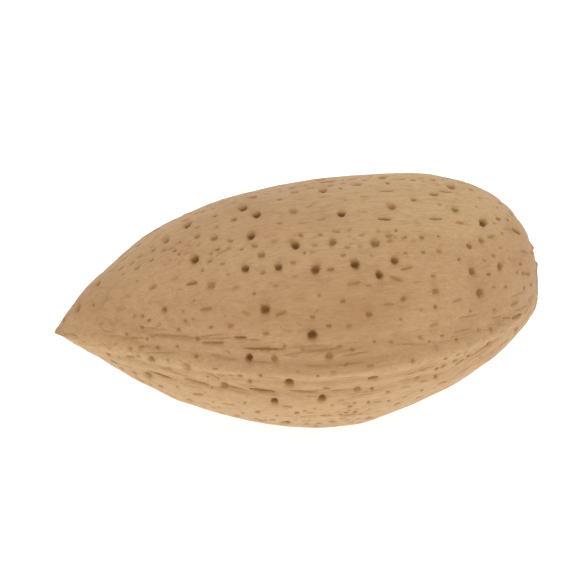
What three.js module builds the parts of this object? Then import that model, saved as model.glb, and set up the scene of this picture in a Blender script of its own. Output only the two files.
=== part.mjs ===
// An almond in its shell, one solid nut lying on its flank. Millimetres, +Z up.
//
// The nut is described first in its own frame. Its spine is the straight line from
// the pointed tip to the blunt stem end. The plane of the seam that runs round the
// shell holds the spine. On one side of the spine lies the belly edge, which is the
// straighter one and carries a low ridge between two furrows, and on the other the
// back edge, which is fuller and comes to a thin ridge. The two flanks bulge above
// and below the seam plane.
//
// The nut is then rolled a little about its spine, pressed flat where it rests, and
// moved so that the middle of its footprint's box is the origin. In the finished
// frame +X runs from tip to stem end and the belly edge faces -Y.

import * as THREE from "three";
import { mergeVertices } from "three/addons/utils/BufferGeometryUtils.js";

const LENGTH = 34;
const ROLL = THREE.MathUtils.degToRad(12); // lifts the belly edge
const REST_DEPTH = 0.35; // how much of the lowest bulge is pressed flat

// How far the shell reaches from the spine on each side.
// reach: the greatest distance, in millimetres
// widest: where that is found, as a share of the length
// rise: the slope at which the side leaves the tip
// hold, swell, shoulder: how far the curve keeps its direction after the tip, before
//   the widest place and after it, as shares of the length
// blunt: how squarely the side meets the stem end, as a share of the reach
const SIDES = {
  belly: { reach: 8.9, widest: 0.56, rise: 0.65, hold: 0.16, swell: 0.2, shoulder: 0.17, blunt: 0.5 },
  back: { reach: 12.6, widest: 0.67, rise: 2.1, hold: 0.12, swell: 0.36, shoulder: 0.17, blunt: 0.7 },
  upper: { reach: 8.3, widest: 0.66, rise: 1.05, hold: 0.15, swell: 0.36, shoulder: 0.22, blunt: 0.78 },
  lower: { reach: 8.1, widest: 0.57, rise: 0.75, hold: 0.17, swell: 0.25, shoulder: 0.16, blunt: 0.42 },
};

const BACK_EDGE_THINNING = 0.2; // how much the flanks draw in towards the back edge
const BELLY_EDGE_THINNING = 0.04;
const CREST_SHIFT = 0.5; // how far the flanks' crests move off the spine to the middle

// The ridges stand out along the seam, and the furrows run beside the belly ridge.
const BELLY_RIDGE = { height: 0.24, halfWidth: 0.7 };
const BACK_RIDGE = { height: 0.35, halfWidth: 0.45 };
const FURROW = { depth: 0.1, halfWidth: 0.6, offset: 1.6 };
const SEAM_FADE = 0.7; // under 1 keeps the ridges full for longer towards the ends

// The scar where the stem broke off, on the stem end, measured from the spine.
const SCAR = { depth: 0.8, halfWidth: 1.9, halfHeight: 1.3, backward: 2.4, upward: 0.4 };

// How finely the surface is divided along the nut, across it and through its thickness.
const STEPS_ALONG = 32;
const STEPS_ACROSS = 16;
const STEPS_THROUGH = 18;
const CROWDING = 1.5; // draws the divisions together towards the seam
const TIP_CROWDING = 0.58; // under 1 spaces them out towards the tip
const HALVINGS = 40; // how often the search for a point of an outline halves its range

const SHELL_COLOUR = new THREE.Color().setRGB(0.75, 0.6, 0.44, THREE.SRGBColorSpace);

const bump = (distance, halfWidth) => Math.exp(-((distance / halfWidth) ** 2));

// The outline of one side, as two curves that meet at the widest place, with x from 0
// at the tip to 1 at the stem end and y from 0 to 1 of the reach.
function outline({ reach, widest, rise, hold, swell, shoulder, blunt }) {
  const top = new THREE.Vector2(widest, 1);
  return [
    new THREE.CubicBezierCurve(
      new THREE.Vector2(0, 0),
      new THREE.Vector2(hold, (rise * hold * LENGTH) / reach),
      new THREE.Vector2(widest - swell, 1),
      top,
    ),
    new THREE.CubicBezierCurve(
      top,
      new THREE.Vector2(widest + shoulder, 1),
      new THREE.Vector2(1, blunt),
      new THREE.Vector2(1, 0),
    ),
  ];
}

// The height of an outline at a share of the length.
function heightAt(curves, share) {
  const curve = share < curves[0].v3.x ? curves[0] : curves[1];
  let low = 0;
  let high = 1;
  for (let i = 0; i < HALVINGS; i++) {
    const middle = (low + high) / 2;
    if (curve.getPoint(middle).x < share) low = middle;
    else high = middle;
  }
  return curve.getPoint(low).y;
}

const OUTLINES = Object.fromEntries(
  Object.entries(SIDES).map(([name, side]) => [name, outline(side)]),
);

const reachAt = (name, share) => SIDES[name].reach * heightAt(OUTLINES[name], share);

// A point of the shell in the nut's own frame, for a direction from a unit sphere:
// x towards the stem end, y towards the back edge, z towards the upper flank.
function shellPoint(direction) {
  const share = Math.max(0, (1 + direction.x) / 2) ** TIP_CROWDING;
  const turn = Math.atan2(direction.z, direction.y);
  const cosine = Math.cos(turn);
  const belly = reachAt("belly", share);
  const back = reachAt("back", share);
  const flank = reachAt(direction.z > 0 ? "upper" : "lower", share);
  const thinning = cosine > 0 ? BACK_EDGE_THINNING : BELLY_EDGE_THINNING;
  const offMiddle = 1 - CREST_SHIFT + CREST_SHIFT * cosine ** 2;
  const point = new THREE.Vector3(
    share * LENGTH,
    ((back + belly) / 2) * cosine + ((back - belly) / 2) * offMiddle,
    flank * Math.sin(turn) * (1 - thinning * cosine ** 2),
  );
  raiseSeam(point, share, cosine);
  sinkScar(point);
  return point;
}

// Adds the ridge on each edge and the two furrows beside the belly ridge.
function raiseSeam(point, share, cosine) {
  const present = Math.sin(Math.PI * share) ** SEAM_FADE;
  const fromSeam = Math.abs(point.z);
  if (cosine > 0) {
    point.y += BACK_RIDGE.height * bump(fromSeam, BACK_RIDGE.halfWidth) * present;
    return;
  }
  const ridge = BELLY_RIDGE.height * bump(fromSeam, BELLY_RIDGE.halfWidth);
  const furrow = FURROW.depth * bump(fromSeam - FURROW.offset, FURROW.halfWidth);
  point.y -= (ridge - furrow) * present * cosine ** 2;
}

// Sinks the stem scar, in the half of the shell that faces away from the tip.
function sinkScar(point) {
  if (point.x < LENGTH / 2) return;
  const across = (point.y - SCAR.backward) / SCAR.halfWidth;
  const up = (point.z - SCAR.upward) / SCAR.halfHeight;
  point.x -= SCAR.depth * bump(Math.hypot(across, up), 1);
}

// A closed sphere of square patches, its divisions crowded towards the seam plane,
// with every vertex carried to its place on the shell.
function shellGeometry() {
  const box = new THREE.BoxGeometry(2, 2, 2, STEPS_ALONG, STEPS_ACROSS, STEPS_THROUGH);
  box.deleteAttribute("normal");
  box.deleteAttribute("uv");
  const geometry = mergeVertices(box);
  const position = geometry.getAttribute("position");
  const vertex = new THREE.Vector3();
  for (let i = 0; i < position.count; i++) {
    vertex.fromBufferAttribute(position, i);
    vertex.z = Math.sign(vertex.z) * Math.abs(vertex.z) ** CROWDING;
    const point = shellPoint(vertex.normalize());
    position.setXYZ(i, point.x, point.y, point.z);
  }
  return geometry;
}

// Rolls the nut about its spine, presses its lowest bulge flat and centres it there.
function layDown(geometry) {
  geometry.rotateX(-ROLL);
  geometry.computeBoundingBox();
  const floor = geometry.boundingBox.min.z + REST_DEPTH;
  const position = geometry.getAttribute("position");
  for (let i = 0; i < position.count; i++) {
    position.setZ(i, Math.max(position.getZ(i), floor));
  }
  geometry.computeBoundingBox();
  const middle = geometry.boundingBox.getCenter(new THREE.Vector3());
  geometry.translate(-middle.x, -middle.y, -floor);
  geometry.computeVertexNormals();
  return geometry;
}

const shell = new THREE.Mesh(
  layDown(shellGeometry()),
  new THREE.MeshStandardMaterial({ color: SHELL_COLOUR, roughness: 0.85, metalness: 0 }),
);
shell.name = "almond_shell";

const almond = new THREE.Group();
almond.add(shell);

export default almond;
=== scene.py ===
"""An almond in its shell, lying on a pale floor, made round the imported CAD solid.

The CAD solid's mesh is copied, smoothed and divided finely, and then worked like a
carving: swells, the seam's ridge and furrows, the stem scar, pores and slits are all
pressed into it. Lengths are in millimetres until a mesh is written, which is in metres.

The nut's own frame has its origin at the tip, x along the spine to the stem end, y
towards the back edge and z towards the upper flank, as in the CAD source.
"""

import math
from typing import NamedTuple

import bmesh
import bpy
import numpy as np
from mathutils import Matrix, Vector


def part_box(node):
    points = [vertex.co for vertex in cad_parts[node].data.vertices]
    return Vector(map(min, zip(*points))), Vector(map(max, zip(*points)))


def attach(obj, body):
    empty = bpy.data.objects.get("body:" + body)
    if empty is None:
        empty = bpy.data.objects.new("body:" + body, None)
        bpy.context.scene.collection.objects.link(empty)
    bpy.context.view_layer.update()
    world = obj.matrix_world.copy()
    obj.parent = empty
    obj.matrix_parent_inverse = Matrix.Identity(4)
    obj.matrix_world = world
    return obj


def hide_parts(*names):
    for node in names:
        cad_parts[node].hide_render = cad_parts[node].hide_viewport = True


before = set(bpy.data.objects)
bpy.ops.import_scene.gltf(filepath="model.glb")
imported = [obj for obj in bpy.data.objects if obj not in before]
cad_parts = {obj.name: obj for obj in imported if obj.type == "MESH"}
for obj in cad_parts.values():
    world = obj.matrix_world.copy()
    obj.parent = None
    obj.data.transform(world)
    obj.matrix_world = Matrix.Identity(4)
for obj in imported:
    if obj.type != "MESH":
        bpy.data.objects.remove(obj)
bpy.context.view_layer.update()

MM = 0.001
SEED = 7
ROLL = math.radians(12)  # how far the belly edge is lifted, as in the CAD source

# The camera: which way it looks at the nut from, its lens and sensor in millimetres, and
# the share of the picture's width that the nut takes.
VIEW_AZIMUTH = math.radians(-8)
VIEW_ELEVATION = math.radians(40)
LENS = 135
SENSOR = 36
NUT_IN_PICTURE = 0.83

# The mesh.
SUBDIVISIONS = 4
TIP_SHARPNESS = 0.85  # how well the tip withstands the smoothing, from 0 to 1
MOST_TRIANGLES = 190_000
SLIVER = 0.01  # the shortest edge that is kept
SHARPEST_FOLD = math.radians(80)
RELAXATIONS = 4  # how often the points of sharper folds are drawn towards their neighbours

# The UV map, on which each flank is spread as a dome.
DOME_FLATNESS = 0.25  # 1 shows a dome as from above, 0 with its rim rolled out
MAP_MARGIN = 0.03  # the share of the map kept free round each flank


# ---------------------------------------------------------------- what is carved

# Unevenness of the whole shell: height, size of the lumps (x, y, z), seed and octaves.
SWELLS = [
    (0.3, (10, 6, 6), 1, 1),
    (0.12, (4.5, 2.2, 2.2), 3, 2),
    (0.045, (1.5, 0.7, 0.7), 6, 2),
]

# Thin meandering creases along the nut, and how strong they are in three regions.
CREASES = {
    "depth": 0.09, "meander": (7, 1.3, 1.3), "thinness": 0.055, "patches": (5, 3, 3),
    "on_flank": 0.2, "by_edge": 0.5, "by_tip": 0.6,
}


class Ridge(NamedTuple):
    """One edge of the seam: a ridge, and furrows beside it as (offset, half width, depth)."""

    height: float
    half_width: float
    furrows: tuple


BELLY_SEAM = Ridge(0.1, 0.35, ((0.75, 0.22, 0.1), (1.7, 0.3, 0.07)))
BACK_SEAM = Ridge(0.16, 0.3, ((0.65, 0.25, 0.1),))
SEAM_DRIFT = 0.35  # how far the seam strays to either side
DEEPEST_FURROW = 0.1

# The stem scar: its middle as in the CAD source, its rim's radius, how far its wrinkles
# reach, and how high, deep and uneven its parts are.
SCAR = {
    "backward": 2.4, "upward": 0.4, "rim": 2.2, "rim_height": 0.24, "rim_half_width": 0.6,
    "wrinkle_reach": 5.5, "wrinkle_depth": 0.16, "wrinkle_thinness": 0.12, "raggedness": 0.5,
}


class Cut(NamedTuple):
    """How marks of one kind are cut. Pairs are the least and the most of a random value."""

    half_width: tuple
    half_length: tuple  # of the straight part
    depth: float  # in half widths
    dark: tuple  # from 0 to 1


class Crowd(NamedTuple):
    """How marks of one kind are spread over the shell."""

    count: int  # on the whole shell
    apart: float  # the least distance to the marks that are there already
    at: float  # the share along the spine where they crowd together
    over: float  # how far from there they thin out, as a share of the spine
    lean: float  # how far they turn from the run of the spine, in radians


OPEN_PORES = Crowd(58, 1.4, 0.45, 0.2, 0.3), Cut((0.27, 0.37), (0, 0.1), 0.85, (0.75, 1))
PALE_PORES = Crowd(110, 1.25, 0.55, 0.5, 0.3), Cut((0.2, 0.39), (0, 0.1), 0.6, (0.35, 0.6))
SLITS = Crowd(36, 1.2, 0.78, 0.25, 0.12), Cut((0.1, 0.18), (0.2, 0.55), 1, (0.35, 0.7))
TRIES_PER_MARK = 40

# Slits that lie end to end in the belly's outer furrows, above and below the seam.
FURROW_HEIGHT = 1.6  # as in the CAD source
FURROW_SLITS = {"from": 0.18, "to": 0.55, "gap": 1.2, "lean": 0.05}
FURROW_SLIT = Cut((0.07, 0.13), (0.6, 1.5), 1, (0.15, 0.75))

# Specks and dents over all that, in loose rows.
SPECK = Cut((0.09, 0.2), (0, 0.15), 0.5, (0.2, 0.6))
DENT = Cut((0.09, 0.18), (0.1, 0.42), 0.45, (0.15, 0.45))
SPECK_SHARE = 0.67
SCATTER_TRIES = 9000
SCATTER_LEAN = 0.25
WIDEST_SPACING = 1.25
CROWDED_BY = 0.9  # how much closer they lie where they crowd
ROOM = 0.9  # how far they stay from the larger marks

# Fine fibrous furrows beside the seam: how many, and how far from the seam they lie.
BELLY_FIBRES = (50, 2.4)
BACK_FIBRES = (36, 1.4)
FIBRE = Cut((0.05, 0.1), (0.4, 1.6), 0.8, (0.05, 0.3))
FIBRE_LEAN = 0.06

# The profile of a mark. Distances here count in half widths of the mark.
PIT = {
    "taper": 0.55,  # how much narrower and shallower it is at its ends
    "wall": 2.6,  # the larger, the steeper its walls and the flatter its bottom
    "dark_reach": 0.85,
    "dark_edge": 3,  # the larger, the crisper the dark middle's edge
    "stain_reach": 1.9,
    "reach": 4,  # beyond this it changes nothing
    "ragged": 0.45,  # how uneven its outline is
    "ragged_when_long": 0.5,  # what is added to that for a slit
}

# Painted light and shade: how much lighter or, under 0, how much darker the shell is painted
# below the seam, as light from the floor; on the upper flank's crest towards the stem end, as a
# painted highlight; and on the cheek between that crest and the belly, as painted shade.
PAINTED_LIGHT_AND_SHADE = {"below": 0.9, "crest": 0.85, "cheek": -0.5}
CLOUDY_TONES = 0.5  # how much noise adds to them


# ---------------------------------------------------------------- small helpers

def bump(distance, half_width):
    """A smooth hill of height 1, falling away over about half_width."""
    return np.exp(-((distance / half_width) ** 2))


def smoothstep(low, high, value):
    """0 at low, 1 at high, and smooth between. Low may be the larger of the two."""
    t = np.clip((value - low) / (high - low), 0, 1)
    return t * t * (3 - 2 * t)


def turned(points, angle):
    """Points turned about the x axis."""
    cosine, sine = math.cos(angle), math.sin(angle)
    x, y, z = points.T
    return np.stack([x, y * cosine - z * sine, y * sine + z * cosine], 1)


class Noise:
    """Smooth random values from about -1 to 1 over space, from seeded slopes on a lattice."""

    SIZE = 256

    def __init__(self, seed):
        rng = np.random.default_rng(seed)
        slopes = rng.normal(size=(self.SIZE, 3))
        self.slopes = slopes / np.linalg.norm(slopes, axis=1, keepdims=True)
        self.order = np.tile(rng.permutation(self.SIZE), 2)

    def __call__(self, points):
        cell = np.floor(points).astype(int)
        part = points - cell
        fade = part**3 * (part * (part * 6 - 15) + 10)
        total = np.zeros(len(points))
        for corner in np.ndindex(2, 2, 2):
            i, j, k = ((cell + corner) % self.SIZE).T
            slope = self.slopes[self.order[self.order[self.order[i] + j] + k]]
            weight = np.prod(np.where(corner, fade, 1 - fade), axis=1)
            total += weight * np.einsum("ij,ij->i", slope, part - corner)
        return total


def noise(points, grain, seed, octaves=1):
    """Noise whose lumps are about grain = (x, y, z) millimetres in size."""
    total = np.zeros(len(points))
    for octave in range(octaves):
        finer = 2.0**octave
        total += Noise(SEED + seed + octave)(points * finer / np.array(grain)) / finer
    return total


def numbers(items, name, width=3):
    """A property of all vertices, faces or loops of a mesh, as one array."""
    found = np.empty(len(items) * width, np.float32)
    items.foreach_get(name, found)
    return found.reshape(-1, width).astype(float) if width > 1 else found.astype(float)


def add_piece(name, data):
    piece = bpy.data.objects.new(name, data)
    bpy.context.scene.collection.objects.link(piece)
    return piece


def applied(piece):
    """The piece's mesh with its modifiers applied. The piece itself is removed."""
    graph = bpy.context.evaluated_depsgraph_get()
    mesh = bpy.data.meshes.new_from_object(piece.evaluated_get(graph), depsgraph=graph)
    bpy.data.objects.remove(piece)
    return mesh


# ---------------------------------------------------------------- the mesh

def base_mesh():
    """A smooth, finely divided copy of the CAD solid's mesh."""
    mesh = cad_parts["almond_shell"].data.copy()
    work = bmesh.new()
    work.from_mesh(mesh)
    bmesh.ops.remove_doubles(work, verts=work.verts, dist=0.001 * MM)
    bmesh.ops.join_triangles(
        work, faces=work.faces, angle_face_threshold=math.pi, angle_shape_threshold=math.pi
    )
    crease = work.verts.layers.float.new("crease_vert")
    min(work.verts, key=lambda v: v.co.x)[crease] = TIP_SHARPNESS
    work.to_mesh(mesh)
    work.free()
    piece = add_piece("smooth_base", mesh)
    piece.modifiers.new("divide", "SUBSURF").levels = SUBDIVISIONS
    return applied(piece)


class Surface:
    """A mesh's points and normals in the nut's own frame, in millimetres."""

    def __init__(self, mesh):
        points = numbers(mesh.vertices, "co") / MM
        self.tip = points[np.argmin(points[:, 0])]
        self.length = float(np.ptp(points[:, 0]))
        self.points = turned(points - self.tip, ROLL)
        self.normals = turned(numbers(mesh.vertices, "normal"), ROLL)
        self.share = self.points[:, 0] / self.length

    def face_centres(self, mesh):
        return turned(numbers(mesh.polygons, "center") / MM - self.tip, ROLL)

    def in_row_frame(self, points):
        return turned(points, -ROLL) + self.tip


def thin_out(mesh):
    """Spends the triangles where the surface bends most."""
    triangles = sum(len(p.vertices) - 2 for p in mesh.polygons)
    piece = add_piece("fine_base", mesh)
    piece.modifiers.new("collapse", "DECIMATE").ratio = min(1, MOST_TRIANGLES / triangles)
    mesh = applied(piece)
    mend(mesh)
    return mesh


def mend(mesh):
    """Takes out the slivers that thinning leaves, and relaxes the mesh where it folds over."""
    work = bmesh.new()
    work.from_mesh(mesh)
    bmesh.ops.dissolve_degenerate(work, dist=SLIVER * MM, edges=work.edges)
    bmesh.ops.triangulate(work, faces=work.faces)
    for _ in range(RELAXATIONS):
        folded = {v for e in work.edges if e.calc_face_angle(0) > SHARPEST_FOLD for v in e.verts}
        bmesh.ops.smooth_vert(
            work, verts=sorted(folded, key=lambda v: v.index), factor=0.5,
            use_axis_x=True, use_axis_y=True, use_axis_z=True,
        )
    work.to_mesh(mesh)
    work.free()


def lay_out(mesh):
    """Makes the UV map: the lower flank's dome in its lower half, the upper one's above."""
    surface = Surface(mesh)
    half = np.ptp(surface.points, axis=0) / 2
    centre = surface.points.min(axis=0) + half
    centre[2] = 0
    outward = (surface.points - centre) / half
    outward /= np.linalg.norm(outward, axis=1, keepdims=True)
    flank = np.where(surface.face_centres(mesh)[:, 2] < 0, -1, 1)
    flank = np.repeat(flank, numbers(mesh.polygons, "loop_total", 1).astype(int))
    x, y, z = outward[numbers(mesh.loops, "vertex_index", 1).astype(int)].T
    from_crest = np.arccos(np.clip(z * flank, -1, 1))
    spread = DOME_FLATNESS * np.sin(from_crest) + (1 - DOME_FLATNESS) * from_crest / (math.pi / 2)
    across = np.maximum(np.hypot(x, y), 1e-9)
    uv = np.stack([x * spread / across, y * spread / across], 1)
    uv = 0.5 + (0.5 - MAP_MARGIN) * uv
    uv[:, 1] = (uv[:, 1] + (flank > 0)) / 2
    layer = mesh.uv_layers.new(name="OFBake", do_init=False)
    layer.uv.foreach_set("vector", uv.astype(np.float32).ravel())


# ---------------------------------------------------------------- marks in the shell

class Mark(NamedTuple):
    """A pit or slit. Its straight part is half_length to either side of its centre."""

    centre: np.ndarray
    direction: np.ndarray
    half_length: float
    half_width: float
    depth: float
    dark: float


def run_of(normal, lean):
    """The direction on the surface that runs along the spine, turned by lean on the surface."""
    run = np.array([1.0, 0, 0]) - normal[0] * normal
    run /= np.linalg.norm(run)
    return run * math.cos(lean) + np.cross(normal, run) * math.sin(lean)


def cut_mark(rng, kind, centre, run):
    half_width = rng.uniform(*kind.half_width)
    half_length = rng.uniform(*kind.half_length)
    return Mark(centre, run, half_length, half_width, kind.depth * half_width, rng.uniform(*kind.dark))


def faces_of(mesh, surface):
    """Every face's area, and its centre and normal in the nut's own frame."""
    area = numbers(mesh.polygons, "area", 1)
    return area, surface.face_centres(mesh), turned(numbers(mesh.polygons, "normal"), ROLL)


def pore_marks(surface, faces):
    """Pores and slits, crowded by kind along the spine and in loose rows."""
    rng = np.random.default_rng(SEED)
    area, centres, normals = faces
    marks = []
    for crowd, kind in (OPEN_PORES, PALE_PORES, SLITS):
        tries = rng.choice(len(area), TRIES_PER_MARK * crowd.count, p=area / area.sum())
        off = centres[tries, 0] / surface.length - crowd.at
        rows = smoothstep(-0.5, 0.4, noise(centres[tries], (11, 2.2, 2.2), 20))
        wanted = rng.random(len(tries)) < rows * (0.08 + bump(off, crowd.over))
        left = crowd.count
        for i in tries[wanted]:
            if left == 0:
                break
            taken = np.array([mark.centre for mark in marks]).reshape(-1, 3)
            if np.any(np.linalg.norm(taken - centres[i], axis=1) < crowd.apart):
                continue
            left -= 1
            run = run_of(normals[i], rng.normal(0, crowd.lean))
            marks.append(cut_mark(rng, kind, centres[i], run))
    return marks


def nearest_on(edge, surface, along, height):
    """The point of one edge's half of the shell at this place along the spine and this height."""
    miss = np.hypot(surface.points[:, 0] - along, surface.points[:, 2] - height)
    return int(np.argmin(np.where(edge, miss, np.inf)))


def furrow_slits(surface):
    """Slits end to end in the belly's outer furrows."""
    rng = np.random.default_rng(SEED + 3)
    belly = surface.points[:, 1] < 0
    marks = []
    for side in (1, -1):
        along = FURROW_SLITS["from"] * surface.length
        while along < FURROW_SLITS["to"] * surface.length:
            half_length = rng.uniform(*FURROW_SLIT.half_length)
            along += half_length
            i = nearest_on(belly, surface, along, side * FURROW_HEIGHT)
            run = run_of(surface.normals[i], rng.normal(0, FURROW_SLITS["lean"]))
            half_width = rng.uniform(*FURROW_SLIT.half_width)
            depth = FURROW_SLIT.depth * half_width
            dark = rng.uniform(*FURROW_SLIT.dark)
            marks.append(Mark(surface.points[i], run, half_length, half_width, depth, dark))
            along += half_length + rng.uniform(0, FURROW_SLITS["gap"])
    return marks


def scattered_marks(faces, larger):
    """Specks and dents all over the shell, in loose rows along it, clear of the larger marks."""
    rng = np.random.default_rng(SEED + 1)
    area, centres, normals = faces
    tries = rng.choice(len(area), SCATTER_TRIES, p=area / area.sum())
    crowd = noise(centres[tries], (11, 1.7, 1.7), 20) + 0.5 * noise(centres[tries], (6, 6, 6), 21)
    spacing = WIDEST_SPACING - CROWDED_BY * smoothstep(-0.45, 0.5, crowd)
    placed = [mark.centre for mark in larger]
    room = [ROOM] * len(placed)
    marks = []
    for i, space in zip(tries, spacing):
        gap = np.linalg.norm(np.array(placed) - centres[i], axis=1)
        if np.any(gap < np.maximum(np.array(room), space)):
            continue
        placed.append(centres[i])
        room.append(space)
        run = run_of(normals[i], rng.normal(0, SCATTER_LEAN))
        kind = SPECK if rng.random() < SPECK_SHARE else DENT
        marks.append(cut_mark(rng, kind, centres[i], run))
    return marks


def seam_fibres(surface):
    """Fine fibrous furrows beside the seam, on both edges and both flanks."""
    rng = np.random.default_rng(SEED + 2)
    belly = surface.points[:, 1] < 0
    marks = []
    for edge, (count, reach) in ((belly, BELLY_FIBRES), (~belly, BACK_FIBRES)):
        for _ in range(count):
            share = rng.uniform(0.03, 0.97)
            height = rng.uniform(0.35, reach) * rng.choice((-1, 1))
            i = nearest_on(edge, surface, share * surface.length, height)
            half_width = rng.uniform(*FIBRE.half_width)
            run = run_of(surface.normals[i], rng.normal(0, FIBRE_LEAN))
            half_length = rng.uniform(*FIBRE.half_length)
            dark = rng.uniform(*FIBRE.dark)
            depth = FIBRE.depth * half_width
            marks.append(Mark(surface.points[i], run, half_length, half_width, depth, dark))
    return marks


def pressed(marks, points):
    """For every point, how deep it is pressed in, how dark it is and how stained."""
    ragged = noise(points, (0.35, 0.22, 0.22), 40, octaves=2)
    depth, dark, stain = np.zeros((3, len(points)))
    order = np.argsort(points[:, 0])
    sorted_x = points[order, 0]
    for mark in marks:
        reach = mark.half_length + PIT["reach"] * mark.half_width
        low, high = np.searchsorted(sorted_x, (mark.centre[0] - reach, mark.centre[0] + reach))
        near = order[low:high]
        near = near[np.abs(points[near] - mark.centre).max(axis=1) < reach]
        offset = points[near] - mark.centre
        run = offset @ mark.direction
        past = np.maximum(np.abs(run) - mark.half_length, 0)
        across = np.linalg.norm(offset - run[:, None] * mark.direction, axis=1)
        to_end = np.clip(np.abs(run) / (mark.half_length + mark.half_width), 0, 1)
        taper = 1 - PIT["taper"] * to_end**2
        distance = np.hypot(across, past) / (mark.half_width * taper)
        uneven = PIT["ragged"] + PIT["ragged_when_long"] * min(1, mark.half_length)
        distance *= 1 + ragged[near] * uneven
        hollow = mark.depth * taper * np.exp(-(distance ** PIT["wall"]))
        middle = mark.dark * np.exp(-((distance / PIT["dark_reach"]) ** PIT["dark_edge"]))
        depth[near] = np.maximum(depth[near], hollow)
        dark[near] = np.maximum(dark[near], middle)
        stain[near] = np.maximum(stain[near], mark.dark * bump(distance, PIT["stain_reach"]))
    return depth, dark, stain


# ---------------------------------------------------------------- the carving

def swells(points):
    """Broad, shallow unevenness, longer along the nut than across it."""
    return sum(height * noise(points, grain, seed, octaves) for height, grain, seed, octaves in SWELLS)


def creases(surface):
    """How much of a crease there is at each point, from 0 to 1."""
    points = surface.points
    edge = smoothstep(0.45, 0.9, np.abs(surface.normals[:, 1]))
    tip = smoothstep(0.3, 0.05, surface.share)
    patchy = smoothstep(-0.1, 0.5, noise(points, CREASES["patches"], 12))
    weight = CREASES["on_flank"] * patchy + CREASES["by_edge"] * edge * patchy
    weight = np.clip(weight + CREASES["by_tip"] * tip, 0, 1)
    return weight * bump(noise(points, CREASES["meander"], 10, octaves=2), CREASES["thinness"])


def scar(surface):
    """The ragged stem scar: what it adds, its wrinkles and how near each point is to it."""
    y, z = surface.points[:, 1] - SCAR["backward"], surface.points[:, 2] - SCAR["upward"]
    distance = np.hypot(y, z)
    angle = np.arctan2(z, y) + 0.6 * noise(surface.points, (2.5, 2.5, 2.5), 53)
    at_stem = smoothstep(0.7, 0.9, surface.share)
    rays = np.stack([2.6 * np.cos(angle), 2.6 * np.sin(angle), distance / 2], 1)
    wrinkle = bump(noise(rays, (1, 1, 1), 50, octaves=2), SCAR["wrinkle_thinness"])
    wrinkle *= at_stem * smoothstep(SCAR["wrinkle_reach"], SCAR["rim"], distance)
    rim = SCAR["rim_height"] * bump(distance - SCAR["rim"], SCAR["rim_half_width"])
    rim *= 1 + 2 * noise(rays * (1.6, 1.6, 1), (1, 1, 1), 52)
    ragged = SCAR["raggedness"] * noise(surface.points, (0.9, 0.5, 0.5), 54, octaves=3)
    hollow = smoothstep(SCAR["rim"] * 1.15, SCAR["rim"] * 0.6, distance)
    nearness = at_stem * smoothstep(SCAR["rim"] * 2.2, SCAR["rim"] * 0.6, distance)
    added = at_stem * (rim + hollow * ragged) - SCAR["wrinkle_depth"] * wrinkle
    return added, wrinkle, nearness


def seam(surface):
    """The seam on both edges: what it adds, and how much of a furrow there is."""
    y, z = surface.points[:, 1], surface.points[:, 2]
    only_along = surface.points * (1, 0, 0)
    off = np.abs(z - SEAM_DRIFT * noise(only_along, (5, 1, 1), 30))
    strength = np.sin(np.pi * np.clip(surface.share, 0, 1)) ** 0.5
    strength *= 0.75 + 0.5 * noise(only_along, (4, 1, 1), 31)
    on_edge = smoothstep(0.35, 0.75, np.abs(surface.normals[:, 1]))
    ridge, furrow = np.zeros((2, len(y)))
    for kind, side in ((BELLY_SEAM, y < 0), (BACK_SEAM, y > 0)):
        edge = np.where(side, on_edge, 0)
        ridge += edge * kind.height * bump(off, kind.half_width)
        for offset, half_width, depth in kind.furrows:
            furrow += edge * depth * bump(off - offset, half_width)
    return strength * (ridge - furrow), strength * furrow / DEEPEST_FURROW


def patches(surface):
    """How much lighter the shell is painted at each point, from about -1 to 1: painted light and shade
    by which way the surface faces, with noise for the shell's own cloudy tone.
    """
    up = surface.normals[:, 2]
    # Painted shade on the cheek and a painted highlight on the crest, by which way the surface faces.
    cheek = bump(up - 0.45, 0.35) * bump(surface.share - 0.62, 0.18) * (surface.points[:, 1] < 0)
    crest = smoothstep(0.5, 0.9, up) * smoothstep(0.2, 0.75, surface.share)
    # Painted light from the floor: lighter where the surface faces down.
    below = smoothstep(0.6, -0.5, up)
    total = PAINTED_LIGHT_AND_SHADE["below"] * below + PAINTED_LIGHT_AND_SHADE["crest"] * crest + PAINTED_LIGHT_AND_SHADE["cheek"] * cheek
    return total + CLOUDY_TONES * noise(surface.points, (12, 7, 7), 60)


def carve(mesh):
    """Presses everything into the mesh, and stores what the material needs to know."""
    surface = Surface(mesh)
    faces = faces_of(mesh, surface)
    larger = pore_marks(surface, faces) + furrow_slits(surface)
    marks = larger + scattered_marks(faces, larger) + seam_fibres(surface)
    depth, dark, stain = pressed(marks, surface.points)
    ridge, furrow = seam(surface)
    crease = creases(surface)
    stem, wrinkle, scarred = scar(surface)
    offset = swells(surface.points) + ridge + stem - CREASES["depth"] * crease - depth
    points = surface.in_row_frame(surface.points + surface.normals * offset[:, None])
    points[:, 2] = np.maximum(points[:, 2], 0)
    mesh.vertices.foreach_set("co", (points * MM).astype(np.float32).ravel())
    store(mesh, "pore", dark)
    store(mesh, "stain", stain)
    store(mesh, "furrow", np.clip(furrow + 0.7 * crease + 0.9 * wrinkle, 0, 1))
    store(mesh, "scar", scarred)
    # The painted light and shade, with the shell's own cloudy tone.
    store(mesh, "painted_light_and_tone", patches(surface))
    mesh.update()


def store(mesh, name, values):
    layer = mesh.attributes.new(name, "FLOAT", "POINT")
    layer.data.foreach_set("value", values.astype(np.float32))


def almond_shell():
    mesh = base_mesh()
    carve(mesh)
    mesh = thin_out(mesh)
    lay_out(mesh)
    mesh.shade_smooth()
    mesh.name = "almond"
    piece = add_piece("almond", mesh)
    mesh.materials.clear()
    mesh.materials.append(shell_material())
    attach(piece, "root")
    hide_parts("almond_shell")


# ---------------------------------------------------------------- materials

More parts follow.
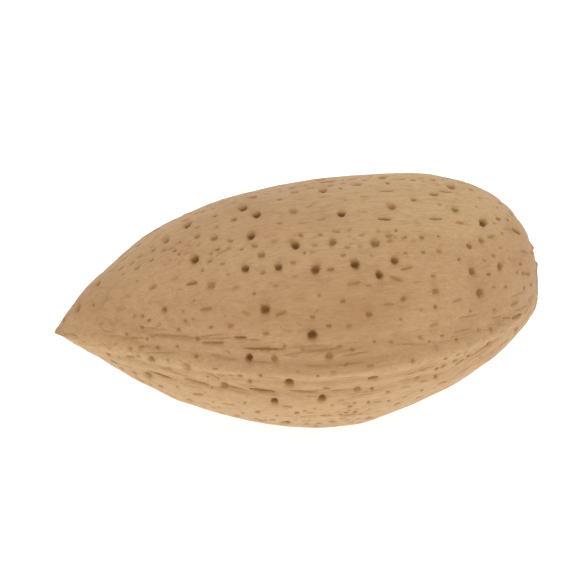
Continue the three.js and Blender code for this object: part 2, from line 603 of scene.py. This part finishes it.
class Nodes:
    """Short ways to build a material's nodes."""

    def __init__(self, name):
        self.material = bpy.data.materials.new(name)
        self.material.use_nodes = True
        self.tree = self.material.node_tree
        self.shader = self.tree.nodes["Principled BSDF"]

    def link(self, source, target):
        self.tree.links.new(source, target)

    def set(self, values):
        """Sets the shader's own sockets."""
        for name, value in values.items():
            self.shader.inputs[name].default_value = value

    def node(self, kind, inputs=(), **settings):
        made = self.tree.nodes.new("ShaderNode" + kind)
        for name, value in settings.items():
            setattr(made, name, value)
        for name, value in dict(inputs).items():
            if isinstance(value, bpy.types.NodeSocket):
                self.link(value, made.inputs[name])
            else:
                made.inputs[name].default_value = value
        return made

    def attribute(self, name):
        return self.node("Attribute", attribute_name=name).outputs["Fac"]

    def times(self, value, factor):
        return self.node("Math", {0: value, 1: factor}, operation="MULTIPLY").outputs[0]

    def times_plus(self, value, factor, added):
        inputs = {0: value, 1: factor, 2: added}
        return self.node("Math", inputs, operation="MULTIPLY_ADD").outputs[0]

    def mapped(self, value, low, high, to_low=0.0, to_high=1.0):
        """A smooth step from to_low, where the value is low, to to_high, where it is high."""
        made = self.node(
            "MapRange",
            {"Value": value, "From Min": low, "From Max": high, "To Min": to_low, "To Max": to_high},
            interpolation_type="SMOOTHSTEP",
        )
        return made.outputs["Result"]

    def grain(self, size, detail, offset, roughness=0.55):
        """Noise whose lumps are about size = (x, y, z) millimetres, from 0 to 1."""
        place = self.node("TexCoord").outputs["Object"]
        stretch = self.node(
            "Mapping",
            {"Vector": place, "Scale": [1 / (s * MM) for s in size], "Location": [offset] * 3,
             "Rotation": (ROLL, 0, 0)},
            vector_type="POINT",
        )
        return self.node(
            "TexNoise",
            {"Vector": stretch.outputs[0], "Scale": 1.0, "Detail": detail, "Roughness": roughness},
        ).outputs["Fac"]

    def mix(self, share, a, b):
        return self.node("Mix", {0: share, 6: a, 7: b}, data_type="RGBA").outputs[2]


def colour(red, green, blue):
    """A linear colour with full alpha from sRGB values of 11 to 255."""
    return (*(((c / 255 + 0.055) / 1.055) ** 2.4 for c in (red, green, blue)), 1.0)


def shell_material():
    """Matte, woody, finely fibrous shell with brown pores."""
    n = Nodes("almond_shell_wood")
    pore, stain, furrow, scarred, painted_light_and_tone = (
        n.attribute(name) for name in ("pore", "stain", "furrow", "scar", "painted_light_and_tone")
    )
    clouds = n.grain((7, 4, 4), detail=3, offset=3)
    blush = n.grain((6, 4, 4), detail=3, offset=11)
    fibres = n.grain((2.4, 0.2, 0.2), detail=4, offset=5)
    mottling = n.grain((1.1, 0.6, 0.6), detail=4, offset=8)
    specks = n.grain((0.28, 0.15, 0.15), detail=2, offset=15)
    nap = n.grain((0.5, 0.1, 0.1), detail=3, roughness=0.65, offset=19)

    tone = n.mix(n.mapped(clouds, 0.38, 0.62), colour(177, 139, 98), colour(183, 147, 105))
    # Painted light and shade: lighter below the seam and on the crest, darker on the cheek.
    tone = n.mix(n.mapped(painted_light_and_tone, 0.05, 1.0, 0, 0.8), tone, colour(194, 161, 116))
    tone = n.mix(n.mapped(painted_light_and_tone, -0.05, -1.0, 0, 0.8), tone, colour(162, 121, 77))
    tone = n.mix(n.mapped(blush, 0.5, 0.72, 0, 0.4), tone, colour(180, 136, 101))
    tone = n.mix(n.mapped(fibres, 0.35, 0.7, 0, 0.22), tone, colour(150, 109, 72))
    tone = n.mix(n.mapped(mottling, 0.5, 0.75, 0, 0.3), tone, colour(152, 110, 73))
    tone = n.mix(n.mapped(specks, 0.62, 0.78, 0, 0.35), tone, colour(130, 90, 56))
    tone = n.mix(n.mapped(nap, 0.4, 0.7, 0, 0.25), tone, colour(144, 104, 66))
    tone = n.mix(n.times(furrow, 0.35), tone, colour(146, 101, 64))
    tone = n.mix(n.times(stain, 0.45), tone, colour(140, 101, 54))
    tone = n.mix(n.times(scarred, 0.7), tone, colour(146, 92, 60))
    tone = n.mix(n.mapped(pore, 0.02, 0.55), tone, colour(145, 104, 56))
    tone = n.mix(n.mapped(pore, 0.4, 1.0), tone, colour(102, 62, 20))
    n.link(tone, n.shader.inputs["Base Color"])

    n.link(n.mapped(mottling, 0.3, 0.7, 0.76, 0.92), n.shader.inputs["Roughness"])
    n.set({
        "Specular IOR Level": 0.35,
        "Sheen Weight": 0.15,
        "Sheen Roughness": 0.5,
        "Sheen Tint": (1.0, 0.9, 0.78, 1.0),
    })

    pits = n.mapped(specks, 0.6, 0.8, 0, -0.6)
    relief = n.times_plus(fibres, 0.6, pits)
    relief = n.times_plus(nap, -0.7, relief)
    bumped = n.node("Bump", {"Strength": 0.5, "Distance": 0.08 * MM, "Height": relief})
    n.link(bumped.outputs[0], n.shader.inputs["Normal"])
    return n.material


def floor_material():
    """White, and lit a little from below like a light table."""
    n = Nodes("pale_floor")
    n.set({
        "Base Color": (0.6, 0.6, 0.6, 1),
        "Roughness": 0.9,
        "Specular IOR Level": 0.1,
        "Emission Color": (1, 1, 1, 1),
        "Emission Strength": 0.75,
    })
    return n.material


# ---------------------------------------------------------------- the studio

def floor():
    half = 3.0  # metres
    corners = [(-half, -half, 0), (half, -half, 0), (half, half, 0), (-half, half, 0)]
    mesh = bpy.data.meshes.new("floor")
    mesh.from_pydata(corners, [], [(0, 1, 2, 3)])
    mesh.materials.append(floor_material())
    add_piece("floor", mesh)


def middle():
    low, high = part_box("almond_shell")
    return (low + high) / 2


def soft_light(name, direction, distance, size, power):
    """A square area light that faces the nut from a direction, in metres and watts."""
    light = bpy.data.lights.new(name, "AREA")
    light.size = size
    light.energy = power
    piece = add_piece(name, light)
    piece.location = middle() + Vector(direction).normalized() * distance
    piece.rotation_euler = Vector(direction).to_track_quat("Z", "Y").to_euler()


def studio():
    """A white tent round the nut, with a soft key light above and a fill light in front."""
    world = bpy.data.worlds.new("tent")
    world.use_nodes = True
    back = world.node_tree.nodes["Background"]
    back.inputs["Color"].default_value = (1, 1, 1, 1)
    back.inputs["Strength"].default_value = 0.72
    bpy.context.scene.world = world
    bpy.context.scene.view_settings.view_transform = "Standard"
    soft_light("key", (0.15, 0.35, 1), distance=0.5, size=0.5, power=1.1)
    soft_light("fill", (-0.1, -1, 0.2), distance=0.5, size=0.5, power=1.0)


def camera():
    low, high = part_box("almond_shell")
    distance = (high - low).x / NUT_IN_PICTURE * LENS / SENSOR
    direction = Vector((
        math.sin(VIEW_AZIMUTH) * math.cos(VIEW_ELEVATION),
        -math.cos(VIEW_AZIMUTH) * math.cos(VIEW_ELEVATION),
        math.sin(VIEW_ELEVATION),
    ))
    data = bpy.data.cameras.new("camera")
    data.lens = LENS
    data.sensor_width = SENSOR
    data.clip_start = 0.001
    data.clip_end = 20
    piece = add_piece("camera", data)
    piece.location = middle() + direction * distance
    piece.rotation_euler = direction.to_track_quat("Z", "Y").to_euler()
    bpy.context.scene.camera = piece


camera()
studio()
floor()
almond_shell()
